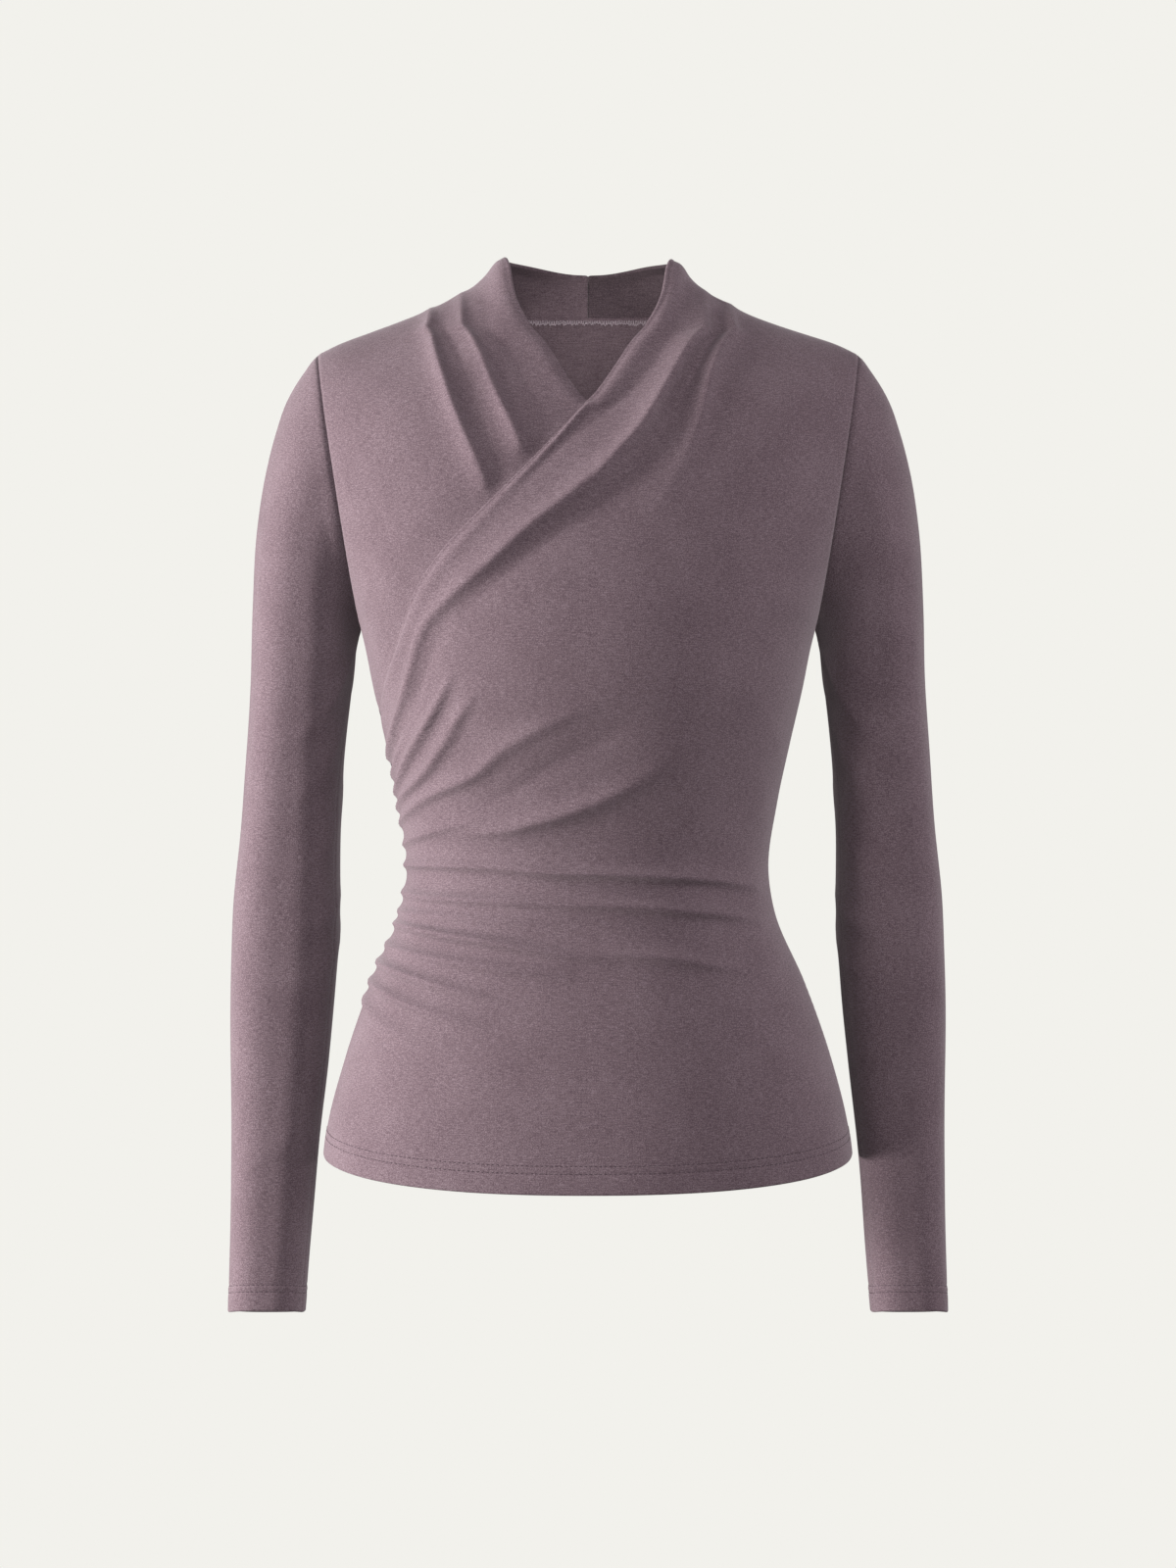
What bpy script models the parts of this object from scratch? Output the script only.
# A long-sleeved wrap top in brushed jersey, hollow and filled out as it is when worn.
#
# Sizes are in millimetres, and build_solid turns them to metres. X runs across with the wearer's left at +X,
# Y to the back and Z up. The origin is midway between the two points where the shoulders meet the neck.
#
# The body is one rounded form, and a place on it is given by two numbers:
#   turn  degrees round the body from its centre line to the side seam at 90, minus on the wearer's right
#   drop  millimetres down the cloth from the level of the origin, measured over the rounded shoulder
# A panel is a grid of such places, moved out by its folds, and then given the thickness of the cloth.
import math

import bpy
import numpy as np

MM = 0.001
FRONT, BACK = -1, 1
LEFT, RIGHT = 1, -1
QUARTER = math.pi / 2
ACROSS = np.array((1.0, 0.0, 0.0))
BACKWARD = np.array((0.0, 1.0, 0.0))

# cloth and seams
CLOTH = 1.4
HEM_CLOTH = 2.2
HEM_TURN = 12.0
CUFF_TURN = 15.0
TURN_STEP = 0.6
SEAM_GAP = 0.3
ARMHOLE_SEAM = 2.0
MITRE_LIMIT = 2.2
SHARP_EDGE = math.radians(50)

# the under front lies this far below the over front, at its edge and well inside it
UNDER_SINK = 2.4
UNDER_SINK_DEEP = 6.0
SINK_OUTSIDE = 24.0
SINK_INSIDE = 30.0
SINK_LEAVES_SEAM = 20.0
UNDER_PLEATS_END = 16.0
LEAST_GAP = 0.5

# body form
BODY_FULLNESS = 2.3
NECK_ROUNDING = 58.0
TIP_ROUNDING = 85.0
ARMHOLE_TIP = (176.2, -36.0)
ARMHOLE_PIT = (148.0, -215.0)
ARMHOLE_DEPTH = 52.0
ARMHOLE_SHARE_LIMIT = 0.8

# collar, hem and the ends of the fronts
COLLAR_SIDE = 57.0
COLLAR_DIP = 5.0
SHOULDER_NECK = 84.0
NECK_SEAM_TILT = 0.14
WRAP_AT_SHOULDER_TIP = 27.0
WRAP_AT_UNDERARM = 200.0
WRAP_END = 285.0
OPPOSITE_END = 268.0
GATHERS_END = 470.0
UNDER_END = 332.0
HEM_SIDE = 555.0
HEM_BOW_FRONT = 19.0
HEM_BOW_BACK = 12.0
CUFF = 660.0
CAP_LEVEL = 240.0
CAP_CROWDING = (1.1, 1.5)

# rows of each grid, down each stretch of its edge
COLLAR_ROWS = 6
SHOULDER_ROWS = 7
ARMHOLE_ROWS = 10
WRAP_ROWS = 5
UNDER_WAIST_ROWS = 4
GATHER_ROWS = 32
SKIRT_ROWS = 6
CAP_ROWS = 9
ARM_ROWS = 15

# columns of each front, close together where its pleats run
OVER_COLUMNS = (0, .02, .05, .085, .12, .15, .18, .21, .255, .3, .33, .37, .43, .51, .6, .7, .8, .9, 1)
UNDER_COLUMNS = (0, .04, .1, .15, .19, .24, .31, .385, .44, .56, .76, 1)
BACK_SHOULDER_COLUMNS = 4

# at the neck the rows of a front follow the shoulder, and at the underarm they lie level
LEVEL_AT_TIP = 0.4

# passes that find a place whose width and height depend on each other, and the half width they start from;
# above SCALE_TOP a degree of turn counts as much cloth as it does there
SETTLE_PASSES = 50
FIRST_HALF_WIDTH = 150.0
SCALE_TOP = 60.0
NECK_PASSES = 30


def table(names, *rows):
    """Named columns."""
    return {name: np.array(column, float) for name, column in zip(names.split(), zip(*rows))}


def listing(names, *rows):
    """Named values of each row."""
    return [dict(zip(names.split(), row)) for row in rows]


# half the width of the body at its side seams
SIDE = table(
    "height width",
    (-215, 148), (-227, 145.2), (-252, 140.2), (-290, 131.5), (-329, 123.2), (-374, 117.8), (-400, 122),
    (-444, 140.8), (-495, 158.7), (-547, 171), (-590, 174),
)

# how far the front and the back stand out from the side seams
BODY = table(
    "height front back",
    (30, 28, 49), (0, 42, 60), (-36, 64, 80), (-80, 90, 96), (-126, 106, 103), (-170, 116, 102),
    (-215, 121.5, 97), (-252, 117, 88), (-290, 106, 80), (-329, 93, 74), (-374, 84, 72), (-400, 86, 76),
    (-444, 92, 89), (-495, 99, 104), (-547, 103, 111), (-590, 104, 113),
)

# the ridge of the shoulders, carried on up inside the neck opening
RIDGE = table(
    "across height",
    (0, 84), (57, 27), (66, 17), (74, 9.5), (88, 1.3), (102, -6), (122, -14), (143, -21.8), (163, -29.4),
    (176.2, -36), (200, -48),
)

# free edge of the over front, from the shoulder ridge to the wearer's right side seam
WRAP_EDGE = table(
    "drop turn",
    (-60, 9.3), (-30, 8.6), (5, 7.6), (27, 5.5), (50, 3.2), (73, 0), (93, -4), (112, -9), (139, -18),
    (172, -32), (197, -43), (217, -51), (238, -60), (254, -69), (268, -78), (285, -90),
)

# pleats that run from the shoulder of the over front round to the gathers, and those of its lower part
OVER_FOLDS = listing(
    "turn1 drop1 rise1 turn2 drop2 rise2 turn3 drop3 rise3 spread",
    (12.5, -36, 1.0, 3, 111, 4.4, -46, 227, 2.0, 5.5),
    (14.5, -30, -0.6, 6, 112, -3.0, -49, 254, -1.2, 6),
    (16, -32, 1.0, 18, 60, 3.6, 12, 129, 0.4, 6),
    (19.5, -24, -0.4, 21, 60, -2.4, 15, 128, 0, 7),
    (10, -30, -0.6, 7.5, 45, -1.6, -6, 116, 0, 5),
    (-30, 343, 2.0, -3, 325, 2.8, 20, 278, 0.4, 6),
    (-30, 350, -1.2, -2, 340, -2.4, 24, 310, -0.3, 6),
    (-64, 336, -1.2, -38, 320, -1.8, -3, 274, -0.2, 4),
    (-47, 371, -1.4, 10, 379, -1.6, 65, 387, -0.3, 5),
    (10, 389, 1.0, 27, 392, 1.4, 52, 395, 0.2, 6),
    (-68, 410, -1.2, -23, 419, -1.4, 35, 437, -0.3, 4.5),
    (-74, 434, -1.6, -54, 441, -1.6, -31, 450, -0.3, 4.5),
)

# pleats of the under front
UNDER_FOLDS = listing(
    "turn1 drop1 rise1 turn2 drop2 rise2 turn3 drop3 rise3 spread",
    (-19, -22, 1.2, -24.5, 65, 4.0, -19, 133, 1.4, 5.5),
    (-16.5, -20, -0.6, -21, 60, -2.6, -15, 127, -0.8, 6),
    (-14.6, -28, 1.2, -14.8, 55, 3.4, -8, 111, 1.2, 4.6),
    (-12.4, -20, -0.6, -11.8, 50, -2.2, -7, 102, -0.5, 4.6),
    (-10.6, -34, 0.6, -8.4, 40, 2.6, -3, 87, 1.0, 5.5),
)

# gathers sewn into the wearer's right side seam, each with its run over the front and round the back
GATHERS = listing(
    "drop rise spread mid_turn mid_drop end_turn end_drop back_turn back_drop",
    (304, 1.6, 5.0, -66, 282, -52, 262, -64, 290),
    (318, 2.6, 4.6, -56, 290, -39, 256, -52, 300),
    (332, 2.8, 4.6, -56, 306, -32, 266, -44, 312),
    (346, 2.6, 4.6, -52, 322, -20, 285, -30, 330),
    (359, 2.2, 4.4, -56, 349, -30, 344, -48, 352),
    (372, 2.4, 4.8, -40, 361, 48, 373, -22, 366),
    (387, 2.2, 4.8, -50, 383, -12, 385, -46, 388),
    (404, 2.4, 4.6, -48, 411, -10, 422, -28, 404),
    (421, 2.4, 4.6, -48, 429, -9, 448, -38, 428),
    (437, 2.2, 4.6, -60, 447, -38, 456, -50, 448),
    (453, 1.4, 5.0, -62, 466, -46, 478, -60, 468),
)

# soft creases of the back, where it hollows at the waist and under the arms
BACK_FOLDS = listing(
    "turn1 drop1 rise1 turn2 drop2 rise2 turn3 drop3 rise3 spread",
    (-52, 120, 0.3, -40, 190, 2.0, -14, 250, 0.3, 10),
    (50, 130, 0.3, 40, 196, 2.0, 18, 262, 0.3, 10),
    (76, 300, 0.6, 40, 336, 2.2, -6, 350, 0.3, 9),
    (80, 378, 0.6, 44, 372, 2.0, 4, 384, 0.3, 9),
    (30, 410, 0.3, 8, 440, 1.4, -20, 480, 0.2, 12),
)

# the sleeve in front view, from the shoulder tip and from the underarm down to the cuff
SLEEVE_OUTER = table(
    "height across",
    (-36, 176.2), (-41, 181.2), (-48, 187.4), (-56, 193), (-66, 198.4), (-86, 205.6), (-111, 211.6),
    (-150, 216.2), (-200, 219.2), (-252, 220.6), (-303, 224), (-342, 227), (-393, 232.4), (-430, 234),
    (-560, 233.6), (-660, 235),
)
SLEEVE_INNER = table(
    "height across",
    (-215, 148), (-219, 149.6), (-227, 151.4), (-252, 154.8), (-303, 159.8), (-342, 161.6), (-393, 161.8),
    (-444, 164.4), (-495, 169.2), (-547, 175), (-610, 180), (-660, 184),
)
SLEEVE_DEPTH = table(
    "height half centre",
    (-126, 53, 0), (-215, 54, 0), (-300, 48, -2), (-400, 42, -6), (-500, 36, -10), (-600, 32.5, -13),
    (-660, 32, -14),
)

# creases of a sleeve: round is 0 at its outer line, 90 in front, 180 at its inner line and 270 behind
SLEEVE_FOLDS = listing(
    "round1 height1 rise1 round2 height2 rise2 round3 height3 rise3 spread",
    (168, -236, 0.6, 125, -276, 2.0, 70, -300, 0.3, 8),
    (172, -300, 0.6, 130, -344, 1.8, 76, -362, 0.2, 8),
    (176, -392, 1.0, 120, -404, 2.0, 60, -396, 0.2, 8),
    (186, -420, 1.0, 240, -436, 1.8, 290, -424, 0.2, 9),
    (190, -330, 0.8, 236, -366, 1.6, 280, -380, 0.2, 9),
    (150, -520, 0.3, 100, -560, 1.4, 40, -576, 0.2, 9),
)


def curve_through(at, along, value):
    """A smooth curve through the points of a table."""
    order = np.argsort(along)
    along, value = along[order], value[order]
    step = np.diff(along)
    rise = np.diff(value) / step
    inner = (rise[:-1] * step[1:] + rise[1:] * step[:-1]) / (step[:-1] + step[1:])
    slope = np.concatenate((rise[:1], inner, rise[-1:]))
    at = np.clip(at, along[0], along[-1])
    i = np.clip(np.searchsorted(along, at) - 1, 0, len(step) - 1)
    t = (at - along[i]) / step[i]
    leaving = value[i] * (1 + 2 * t) * (1 - t) ** 2 + slope[i] * step[i] * t * (1 - t) ** 2
    arriving = value[i + 1] * t * t * (3 - 2 * t) + slope[i + 1] * step[i] * t * t * (t - 1)
    return leaving + arriving


def ease(t):
    t = np.clip(t, 0, 1)
    return t * t * (3 - 2 * t)


def unit(vectors):
    return vectors / np.maximum(np.linalg.norm(vectors, axis=-1, keepdims=True), 1e-9)


# ---- the form of the body ----

def ridge_height(x):
    return curve_through(np.abs(x), RIDGE["across"], RIDGE["height"])


def rounding(x):
    return np.interp(np.abs(x), (COLLAR_SIDE, ARMHOLE_TIP[0]), (NECK_ROUNDING, TIP_ROUNDING))


def standing_out(z, face):
    return curve_through(z, BODY["height"], BODY["front" if face == FRONT else "back"])


def side_edge(z):
    """Half width at the armhole seam, which lies in one plane, and below it at the side seam."""
    slope = (ARMHOLE_TIP[0] - ARMHOLE_PIT[0]) / (ARMHOLE_TIP[1] - ARMHOLE_PIT[1])
    armhole = ARMHOLE_PIT[0] + (z - ARMHOLE_PIT[1]) * slope
    return np.where(z > ARMHOLE_PIT[1], armhole, curve_through(z, SIDE["height"], SIDE["width"]))


def reach(z):
    """Half width of the full section, which the armhole cuts short."""
    middle = (ARMHOLE_TIP[1] + ARMHOLE_PIT[1]) / 2
    half = (ARMHOLE_TIP[1] - ARMHOLE_PIT[1]) / 2
    below = np.clip((middle - z) / half, 0, 1)
    cut = ARMHOLE_DEPTH * np.sqrt(1 - below ** 2)
    share = 2 * cut / (standing_out(z, FRONT) + standing_out(z, BACK))
    share = np.minimum(share, ARMHOLE_SHARE_LIMIT)
    return side_edge(z) / (1 - share ** BODY_FULLNESS) ** (1 / BODY_FULLNESS)


def settle(turn, drop, fall=0.0, level=1.0):
    """Across, height and fall from the ridge, of places given by drop, by fall or by a share of each."""
    side = np.sign(turn)
    swell = np.abs(np.sin(np.radians(turn))) ** (2 / BODY_FULLNESS)
    x = FIRST_HALF_WIDTH * side * swell
    for _ in range(SETTLE_PASSES):
        round_off = rounding(x)
        saved = round_off * (QUARTER - 1)
        down = np.maximum((1 - level) * fall + level * (drop + ridge_height(x) + saved), 0)
        bend = np.minimum(down / round_off, QUARTER)
        z = ridge_height(x) - np.where(bend < QUARTER, round_off * (1 - np.cos(bend)), down - saved)
        x = (x + reach(z) * side * swell) / 2
    return x, z, down


def place_of(x, z):
    """Turn, drop and fall of a point of the body form."""
    share = np.clip(np.abs(x) / reach(z), 0, 1) ** (BODY_FULLNESS / 2)
    turn = np.sign(x) * np.degrees(np.arcsin(share))
    round_off = rounding(x)
    lower = np.maximum(ridge_height(x) - z, 0)
    bend = np.arccos(np.clip(1 - lower / round_off, 0, 1))
    fall = np.where(lower < round_off, round_off * bend, lower + round_off * (QUARTER - 1))
    return turn, fall - ridge_height(x) - round_off * (QUARTER - 1), fall


def body_points(turn, drop, fall, level, face):
    x, z, down = settle(turn, drop, fall, level)
    bend = np.sin(np.minimum(down / rounding(x), QUARTER))
    section = np.maximum(np.cos(np.radians(turn)), 0) ** (2 / BODY_FULLNESS)
    depth = np.where(face == FRONT, -standing_out(z, FRONT), standing_out(z, BACK))
    return np.stack((x, depth * section * bend, z), -1)


# ---- folds ----

def body_scale(drop):
    """Millimetres of cloth in a degree of turn."""
    z = -np.clip(drop, SCALE_TOP, HEM_SIDE)
    return np.radians(np.hypot(side_edge(z), standing_out(z, FRONT)) / math.sqrt(2))


def sleeve_scale(z):
    half_width = (sleeve_outer(z) - sleeve_inner(z)) / 2
    return np.radians(np.hypot(half_width, sleeve_depth(z)) / math.sqrt(2))


def from_line(u, v, line_u, line_v):
    """Distance of each point from a line of points, the share of the way along it, and the side."""
    nearest = np.full(u.shape, np.inf)
    along, side = np.zeros(u.shape), np.ones(u.shape)
    count = len(line_u) - 1
    for i in range(count):
        du, dv = line_u[i + 1] - line_u[i], line_v[i + 1] - line_v[i]
        t = np.clip(((u - line_u[i]) * du + (v - line_v[i]) * dv) / (du * du + dv * dv), 0, 1)
        off_u, off_v = u - line_u[i] - t * du, v - line_v[i] - t * dv
        distance = np.hypot(off_u, off_v)
        closer = distance < nearest
        nearest = np.where(closer, distance, nearest)
        along = np.where(closer, (i + t) / count, along)
        side = np.where(closer, np.sign(du * off_v - dv * off_u), side)
    return nearest, along, side


def fold_heights(u, v, folds, names, scale):
    """Summed height of folds, each a soft ridge or trough along a curve through three places."""
    height = np.zeros(u.shape)
    t = np.linspace(0, 1, 9)
    through = ((1 - t) * (1 - 2 * t), 4 * t * (1 - t), t * (2 * t - 1))
    for fold in folds:
        line_u = sum(share * fold[names[0] + str(k)] for k, share in zip((1, 2, 3), through))
        line_v = sum(share * fold[names[1] + str(k)] for k, share in zip((1, 2, 3), through))
        distance, along, _ = from_line(u * scale(v), v, line_u * scale(line_v), line_v)
        rise = np.interp(along, (0, 0.5, 1), (fold["rise1"], fold["rise2"], fold["rise3"]))
        height += rise * np.exp(-(distance / fold["spread"]) ** 2)
    return height


def gather_folds(face):
    """The gathers as folds of the front or of the back, equal where they meet at the side seam."""
    folds = []
    for gather in GATHERS:
        fold = {"turn1": -90, "drop1": gather["drop"], "rise1": gather["rise"], "spread": gather["spread"]}
        if face == FRONT:
            fold.update(turn2=gather["mid_turn"], drop2=gather["mid_drop"], rise2=0.9 * gather["rise"])
            fold.update(turn3=gather["end_turn"], drop3=gather["end_drop"], rise3=0.2)
        else:
            fold.update(turn2=(gather["back_turn"] - 90) / 2, rise2=0.7 * gather["rise"])
            fold.update(drop2=(gather["drop"] + gather["back_drop"]) / 2)
            fold.update(turn3=gather["back_turn"], drop3=gather["back_drop"], rise3=0.2)
        folds.append(fold)
    return folds


# ---- seams ----

def armhole_plane(side):
    """Direction square to the armhole seam, pointing out to the sleeve."""
    run = np.array((ARMHOLE_TIP[0] - ARMHOLE_PIT[0], 0, ARMHOLE_TIP[1] - ARMHOLE_PIT[1]))
    return unit(np.array((run[2] * side, 0, -run[0])))


def armhole_heights():
    """Heights of the armhole's points from its tip down to the underarm, even round its oval."""
    around = np.linspace(0, math.pi, ARMHOLE_ROWS + 1)
    middle = (ARMHOLE_TIP[1] + ARMHOLE_PIT[1]) / 2
    return middle + (ARMHOLE_TIP[1] - ARMHOLE_PIT[1]) / 2 * np.cos(around)


def armhole(side):
    """Points of the armhole, from its tip down the front and up the back, and the way out of the oval."""
    z = armhole_heights()
    turn, drop, fall = place_of(side * side_edge(z), z)
    front = body_points(turn, drop, fall, 1.0, FRONT)
    back = body_points(turn, drop, fall, 1.0, BACK)
    ring = np.concatenate((front, back[-2:0:-1]))
    along = np.roll(ring, -1, 0) - np.roll(ring, 1, 0)
    outward = unit(np.cross(along, armhole_plane(side)))
    outward *= np.sign(np.sum(outward * (ring - ring.mean(0)), -1, keepdims=True))
    return ring, outward


def neck_plane():
    return unit(np.array((0, NECK_SEAM_TILT, 1.0)))


def neck_seam(x):
    """Places where the collar meets the back, all in one tilted plane."""
    level = ridge_height(np.array(SHOULDER_NECK))
    z = np.full(x.shape, float(level))
    for _ in range(NECK_PASSES):
        turn, drop, fall = place_of(x, z)
        z = level - NECK_SEAM_TILT * body_points(turn, drop, fall, 1.0, BACK)[..., 1]
    return place_of(x, z)


class Seams:
    """One or two directions at points on the seams of a grid, pointing across them to the pieces beyond."""

    def __init__(self, shape):
        self.first = np.zeros(shape + (3,))
        self.second = np.zeros(shape + (3,))

    def add(self, where, toward):
        taken = np.any(self.first[where], -1, keepdims=True)
        self.second[where] = np.where(taken, toward, self.second[where])
        self.first[where] = np.where(taken, self.first[where], toward)

    def part_from(self, points):
        return points - (self.first + self.second) * SEAM_GAP / 2


def cloth_directions(points, seams, closed):
    """The way out of the cloth at each point, kept in its seams' planes, and how far they draw a wall out."""
    if closed:
        middle = points.mean(1, keepdims=True)
        across = np.roll(points, -1, 1) - np.roll(points, 1, 1)
    else:
        middle = points * (0, 0, 1)
        across = np.gradient(points, axis=1)
    normal = unit(np.cross(across, np.gradient(points, axis=0)))
    normal *= np.sign(np.sum(normal * (points - middle)))
    flat = normal - seams.first * np.sum(normal * seams.first, -1, keepdims=True)
    corner = np.cross(seams.first, seams.second)
    corner *= np.sign(np.sum(corner * normal, -1, keepdims=True))
    direction = unit(np.where(np.any(seams.second, -1, keepdims=True), corner, flat))
    facing = np.sum(direction * normal, -1, keepdims=True)
    return direction, 1 / np.clip(facing, 1 / MITRE_LIMIT, 1)


# ---- solids ----

def build_solid(name, outer, inner, closed, material):
    """One closed body between an outer and an inner grid of points, both cut along the same diagonals."""
    rows, columns = outer.shape[:2]
    across = columns if closed else columns - 1
    index = np.arange(rows * columns).reshape(rows, columns)
    inward = rows * columns
    faces = []
    for r in range(rows - 1):
        for c in range(across):
            d = (c + 1) % columns
            corners = [int(index[r, c]), int(index[r, d]), int(index[r + 1, d]), int(index[r + 1, c])]
            if np.linalg.norm(outer[r, d] - outer[r + 1, c]) < np.linalg.norm(outer[r, c] - outer[r + 1, d]):
                corners = corners[1:] + corners[:1]
            for triangle in (corners[:3], [corners[0]] + corners[2:]):
                faces.append(triangle)
                faces.append([inward + corner for corner in reversed(triangle)])
    if closed:
        loops = [list(index[0]), list(index[-1][::-1])]
    else:
        loops = [list(index[0]) + list(index[1:, -1]) + list(index[-1, -2::-1]) + list(index[-2:0:-1, 0])]
    for loop in loops:
        for start, end in zip(loop, loop[1:] + loop[:1]):
            faces.append([int(end), int(start), int(start) + inward, int(end) + inward])
    vertices = np.concatenate((outer.reshape(-1, 3), inner.reshape(-1, 3))) * MM
    mesh = bpy.data.meshes.new(name)
    mesh.from_pydata(vertices.tolist(), [], faces)
    mesh.update()
    if signed_volume(mesh) < 0:
        mesh.flip_normals()
    mesh.shade_smooth()
    mesh.set_sharp_from_angle(angle=SHARP_EDGE)
    mesh.materials.append(material)
    solid = bpy.data.objects.new(name, mesh)
    bpy.context.scene.collection.objects.link(solid)
    return solid


def signed_volume(mesh):
    total = 0.0
    for face in mesh.polygons:
        a, *others = (mesh.vertices[i].co for i in face.vertices)
        total += sum(a.dot(b.cross(c)) for b, c in zip(others, others[1:]))
    return total / 6


# ---- the panels of the body ----

def front_ends(under):
    """For each row of the wearer's left front, the places at its free edge and at its far edge."""
    around = np.linspace(QUARTER, 0, COLLAR_ROWS + 1)[:-1]
    peak = float(ridge_height(np.array(COLLAR_SIDE)))
    top = place_of(COLLAR_SIDE * np.cos(around), peak - COLLAR_DIP * np.sin(around))
    base = neck_seam(SHOULDER_NECK * np.cos(around))

    start = -peak - rounding(COLLAR_SIDE) * (QUARTER - 1)
    edge_drop = np.concatenate((
        np.linspace(start, WRAP_AT_SHOULDER_TIP, SHOULDER_ROWS + 1),
        np.linspace(WRAP_AT_SHOULDER_TIP, WRAP_AT_UNDERARM, ARMHOLE_ROWS + 1)[1:],
        np.linspace(WRAP_AT_UNDERARM, WRAP_END, WRAP_ROWS + 1)[1:],
    ))
    edge_turn = curve_through(edge_drop, WRAP_EDGE["drop"], WRAP_EDGE["turn"])
    shoulder = np.linspace(SHOULDER_NECK, ARMHOLE_TIP[0], SHOULDER_ROWS + 1)
    z = armhole_heights()[1:]
    far_x = np.concatenate((shoulder, side_edge(z)))
    far_turn, far_drop, _ = place_of(far_x, np.concatenate((ridge_height(shoulder), z)))
    wrap_far = np.linspace(-ARMHOLE_PIT[1], OPPOSITE_END, WRAP_ROWS + 1)[1:]
    far_drop = np.concatenate((far_drop, wrap_far))
    far_turn = np.concatenate((far_turn, np.full(WRAP_ROWS, 90.0)))
    rows, end = (UNDER_WAIST_ROWS, UNDER_END) if under else (GATHER_ROWS, GATHERS_END)
    low_edge = np.linspace(WRAP_END, end, rows + 1)[1:]
    low_far = np.linspace(OPPOSITE_END, end, rows + 1)[1:]
    if not under:
        low_edge = np.concatenate((low_edge, skirt_drops()))
        low_far = np.concatenate((low_far, skirt_drops()))
    edge = (np.concatenate((top[0], edge_turn, np.full(len(low_edge), -90.0))),
            np.concatenate((top[1], edge_drop, low_edge)))
    far = (np.concatenate((base[0], far_turn, np.full(len(low_far), 90.0))),
           np.concatenate((base[1], far_drop, low_far)))
    return edge, far


def skirt_drops():
    """Rows from the last gather down to the hem, with a step where the hem is turned up."""
    even = np.linspace(GATHERS_END, HEM_SIDE - HEM_TURN - TURN_STEP, SKIRT_ROWS + 1)[1:]
    return np.append(even, (HEM_SIDE - HEM_TURN, HEM_SIDE))


def hem_bow(drop, turn, bow):
    """The extra drop that lowers the middle of the hem, eased in from the waist."""
    return bow * np.clip((drop - UNDER_END) / (HEM_SIDE - UNDER_END), 0, 1) * np.cos(np.radians(turn))


def wall_thickness(drop):
    return np.where(drop > HEM_SIDE - HEM_TURN - TURN_STEP / 2, HEM_CLOTH, CLOTH)


def wrap_distance(turn, drop):
    """Distance outside the over front's free edge, negative where the over front covers."""
    line_drop = np.linspace(WRAP_EDGE["drop"][0], WRAP_EDGE["drop"][-1], 40)
    line_turn = curve_through(line_drop, WRAP_EDGE["drop"], WRAP_EDGE["turn"])
    distance, _, side = from_line(turn * body_scale(drop), drop, line_turn * body_scale(line_drop), line_drop)
    return distance * side


def under_sink(turn, drop):
    """How far the under front lies below the body form to leave room for the over front."""
    outside = wrap_distance(turn, drop)
    away_from_seams = ease((90 - np.abs(turn)) / SINK_LEAVES_SEAM)
    deeper = (UNDER_SINK_DEEP - UNDER_SINK) * ease(-outside / SINK_INSIDE) * away_from_seams
    return UNDER_SINK * (1 - ease(outside / SINK_OUTSIDE)) + deeper


def build_front(name, side, material):
    under = side == RIGHT
    columns = np.array(UNDER_COLUMNS if under else OVER_COLUMNS)
    edge, far = front_ends(under)
    turn, drop = ((start[:, None] + (end - start)[:, None] * columns) for start, end in zip(edge, far))
    edge_fall, far_fall = settle(*edge)[2], settle(*far)[2]
    shoulder_end = COLLAR_ROWS + SHOULDER_ROWS
    underarm = shoulder_end + ARMHOLE_ROWS
    row = np.arange(len(turn))
    level = np.interp(row, (COLLAR_ROWS, shoulder_end, underarm), (0, LEVEL_AT_TIP, 1))[:, None]
    fall = edge_fall[:, None] + (far_fall - edge_fall)[:, None] * columns
    face = np.where(row < COLLAR_ROWS, BACK, FRONT)[:, None]
    turn = turn * side
    thickness = wall_thickness(drop)[..., None]
    drop = drop + hem_bow(drop, turn, HEM_BOW_FRONT)
    x, z, down = settle(turn, drop, fall, level)
    points = body_points(turn, drop, fall, level, face)
    drop = down - ridge_height(x) - rounding(x) * (QUARTER - 1)

    seams = Seams(turn.shape)
    seams.add(np.s_[: COLLAR_ROWS + 1, -1], -neck_plane())
    seams.add(np.s_[0, :], -side * ACROSS)
    seams.add(np.s_[COLLAR_ROWS : shoulder_end + 1, -1], BACKWARD)
    seams.add(np.s_[underarm + 1 :, -1], BACKWARD)
    seams.add(np.s_[underarm + WRAP_ROWS :, 0], BACKWARD)
    armhole_rows = np.s_[shoulder_end : underarm + 1, -1]

    sink = under_sink(turn, drop)
    if under:
        height = fold_heights(turn, drop, UNDER_FOLDS, ("turn", "drop"), body_scale)
        height = height * ease(wrap_distance(turn, drop) / UNDER_PLEATS_END) - sink
    else:
        height = fold_heights(turn, drop, OVER_FOLDS + gather_folds(FRONT), ("turn", "drop"), body_scale)
        height = np.maximum(height, CLOTH + LEAST_GAP - sink)
    height = np.where(face == FRONT, height, 0)
    height[armhole_rows] = 0
    direction, _ = cloth_directions(points, seams, False)
    points = points + direction * height[..., None]
    direction, mitre = cloth_directions(points, seams, False)
    thickness = thickness * mitre
    direction[armhole_rows] = armhole(side)[1][: ARMHOLE_ROWS + 1]
    thickness[armhole_rows] = ARMHOLE_SEAM
    seams.add(armhole_rows, armhole_plane(side))
    seams.add(np.s_[underarm, -1], BACKWARD)
    outer = seams.part_from(points)
    build_solid(name, outer, outer - direction * thickness, False, material)


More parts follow.
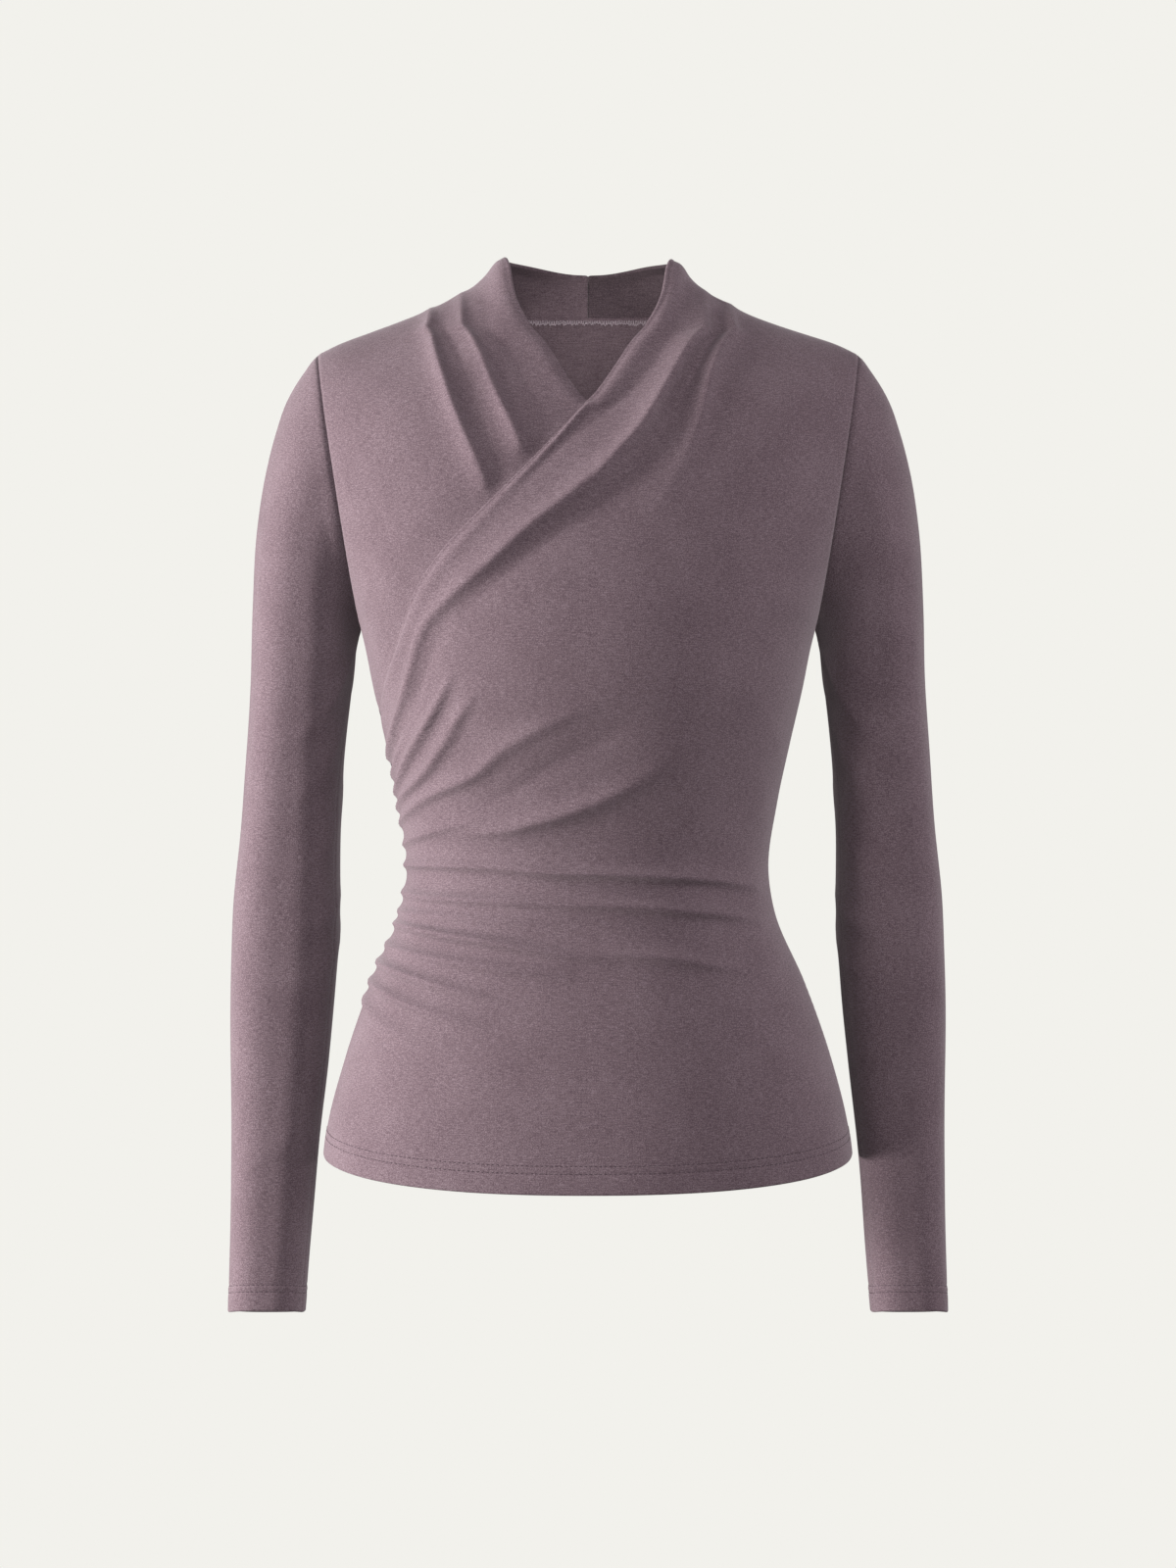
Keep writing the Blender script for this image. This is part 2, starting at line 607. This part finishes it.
def back_grid():
    """Turn and drop of the back, from its neck and shoulder seams down to a level hem."""
    around = np.linspace(QUARTER, 0, COLLAR_ROWS + 1)[:-1]
    shoulder = np.linspace(SHOULDER_NECK, ARMHOLE_TIP[0], BACK_SHOULDER_COLUMNS + 1)
    neck_turn, neck_drop, _ = neck_seam(SHOULDER_NECK * np.cos(around))
    shoulder_turn, shoulder_drop, _ = place_of(shoulder, ridge_height(shoulder))
    top_turn = np.concatenate((neck_turn, shoulder_turn))
    top_drop = np.concatenate((neck_drop, shoulder_drop))
    share = np.concatenate((-top_turn[:0:-1], top_turn)) / top_turn[-1]
    top_drop = np.concatenate((top_drop[:0:-1], top_drop))

    z = armhole_heights()
    edge_turn, edge_drop, _ = place_of(side_edge(z), z)
    underarm = -ARMHOLE_PIT[1]
    way_down = ((edge_drop - edge_drop[0]) / (underarm - edge_drop[0]))[:, None]
    upper = top_drop + (underarm - top_drop) * way_down
    side_drops = np.concatenate((
        np.linspace(underarm, WRAP_END, WRAP_ROWS)[1:],
        np.linspace(WRAP_END, GATHERS_END, GATHER_ROWS + 1)[1:],
        skirt_drops(),
    ))
    lower = np.broadcast_to(side_drops[:, None], (len(side_drops), len(share)))
    turn = np.concatenate((edge_turn, np.full(len(side_drops), 90.0)))[:, None] * share
    return turn, np.concatenate((upper, lower))


def build_back(name, material):
    turn, drop = back_grid()
    thickness = wall_thickness(drop)[..., None]
    drop = drop + hem_bow(drop, turn, HEM_BOW_BACK)
    points = body_points(turn, drop, 0.0, 1.0, BACK)
    seams = Seams(turn.shape)
    seams.add(np.s_[0, BACK_SHOULDER_COLUMNS:-BACK_SHOULDER_COLUMNS], neck_plane())
    seams.add(np.s_[0, : BACK_SHOULDER_COLUMNS + 1], -BACKWARD)
    seams.add(np.s_[0, -BACK_SHOULDER_COLUMNS - 1 :], -BACKWARD)
    seams.add(np.s_[ARMHOLE_ROWS + 1 :, 0], -BACKWARD)
    seams.add(np.s_[ARMHOLE_ROWS + 1 :, -1], -BACKWARD)
    height = fold_heights(turn, drop, BACK_FOLDS + gather_folds(BACK), ("turn", "drop"), body_scale)
    armhole_rows = np.s_[: ARMHOLE_ROWS + 1]
    height[armhole_rows, 0] = 0
    height[armhole_rows, -1] = 0
    height[0] = 0
    direction, _ = cloth_directions(points, seams, False)
    points = points + direction * height[..., None]
    direction, mitre = cloth_directions(points, seams, False)
    thickness = thickness * mitre
    for side, column in ((RIGHT, 0), (LEFT, -1)):
        outward = armhole(side)[1]
        direction[armhole_rows, column] = np.concatenate((outward[:1], outward[: ARMHOLE_ROWS - 1 : -1]))
        thickness[armhole_rows, column] = ARMHOLE_SEAM
        seams.add((armhole_rows, column), armhole_plane(side))
        seams.add((ARMHOLE_ROWS, column), -BACKWARD)
    outer = seams.part_from(points)
    build_solid(name, outer, outer - direction * thickness, False, material)


# ---- sleeves ----

def sleeve_outer(z):
    return curve_through(z, SLEEVE_OUTER["height"], SLEEVE_OUTER["across"])


def sleeve_inner(z):
    return curve_through(z, SLEEVE_INNER["height"], SLEEVE_INNER["across"])


def sleeve_depth(z):
    return curve_through(z, SLEEVE_DEPTH["height"], SLEEVE_DEPTH["half"])


def sleeve_rings():
    """Height of each ring at its outer and at its inner line. The first rings fan out round the underarm."""
    fan = np.arange(CAP_ROWS + 1) / CAP_ROWS
    cap_outer = ARMHOLE_TIP[1] + (-CAP_LEVEL - ARMHOLE_TIP[1]) * fan ** CAP_CROWDING[0]
    cap_inner = ARMHOLE_PIT[1] + (-CAP_LEVEL - ARMHOLE_PIT[1]) * fan ** CAP_CROWDING[1]
    arm = np.linspace(-CAP_LEVEL, CUFF_TURN + TURN_STEP - CUFF, ARM_ROWS + 1)[1:]
    arm = np.append(arm, (CUFF_TURN - CUFF, -CUFF))
    return np.concatenate((cap_outer, arm)), np.concatenate((cap_inner, arm))


def build_sleeve(name, side, material):
    start, outward = armhole(side)
    high, low = sleeve_rings()
    around = np.linspace(0, 2 * math.pi, 2 * ARMHOLE_ROWS + 1)[:-1]
    over = np.stack((sleeve_outer(high), np.zeros(len(high)), high), -1)
    inside = np.stack((sleeve_inner(low), np.zeros(len(low)), low), -1)
    centre, half = (over + inside) / 2, (over - inside) / 2
    points = centre[:, None] + half[:, None] * np.cos(around)[None, :, None]
    points[..., 0] *= side
    depth = sleeve_depth((high + low) / 2)[:, None]
    settled = ease(np.arange(len(high)) / CAP_ROWS)[:, None]
    as_armhole = start[:, 1] * depth / ARMHOLE_DEPTH
    as_sleeve = -depth * np.sin(around)
    centre_line = curve_through((high + low) / 2, SLEEVE_DEPTH["height"], SLEEVE_DEPTH["centre"])[:, None]
    points[..., 1] = (1 - settled) * as_armhole + settled * as_sleeve + centre_line
    points[0] = start

    seams = Seams(points.shape[:2])
    round_place = np.broadcast_to(np.degrees(around), points.shape[:2])
    height = fold_heights(round_place, points[..., 2], SLEEVE_FOLDS, ("round", "height"), sleeve_scale)
    height *= settled
    direction, _ = cloth_directions(points, seams, True)
    points = points + direction * height[..., None]
    direction, _ = cloth_directions(points, seams, True)
    direction[0] = outward
    cuff = points[..., 2:] < CUFF_TURN + TURN_STEP / 2 - CUFF
    thickness = np.where(cuff, HEM_CLOTH, CLOTH)
    thickness[0] = ARMHOLE_SEAM
    seams.add(np.s_[0, :], -armhole_plane(side))
    outer = seams.part_from(points)
    build_solid(name, outer, outer - direction * thickness, True, material)


def jersey():
    """Brushed mauve jersey: no gloss, a soft nap."""
    material = bpy.data.materials.new("brushed_mauve_jersey")
    material.use_nodes = True
    shader = material.node_tree.nodes["Principled BSDF"]
    shader.inputs["Base Color"].default_value = (0.25, 0.165, 0.185, 1)
    shader.inputs["Roughness"].default_value = 0.95
    shader.inputs["Metallic"].default_value = 0.0
    return material


def main():
    for old in list(bpy.data.objects):
        bpy.data.objects.remove(old)
    material = jersey()
    build_front("front_over", LEFT, material)
    build_front("front_under", RIGHT, material)
    build_back("back", material)
    build_sleeve("sleeve_left", LEFT, material)
    build_sleeve("sleeve_right", RIGHT, material)


main()
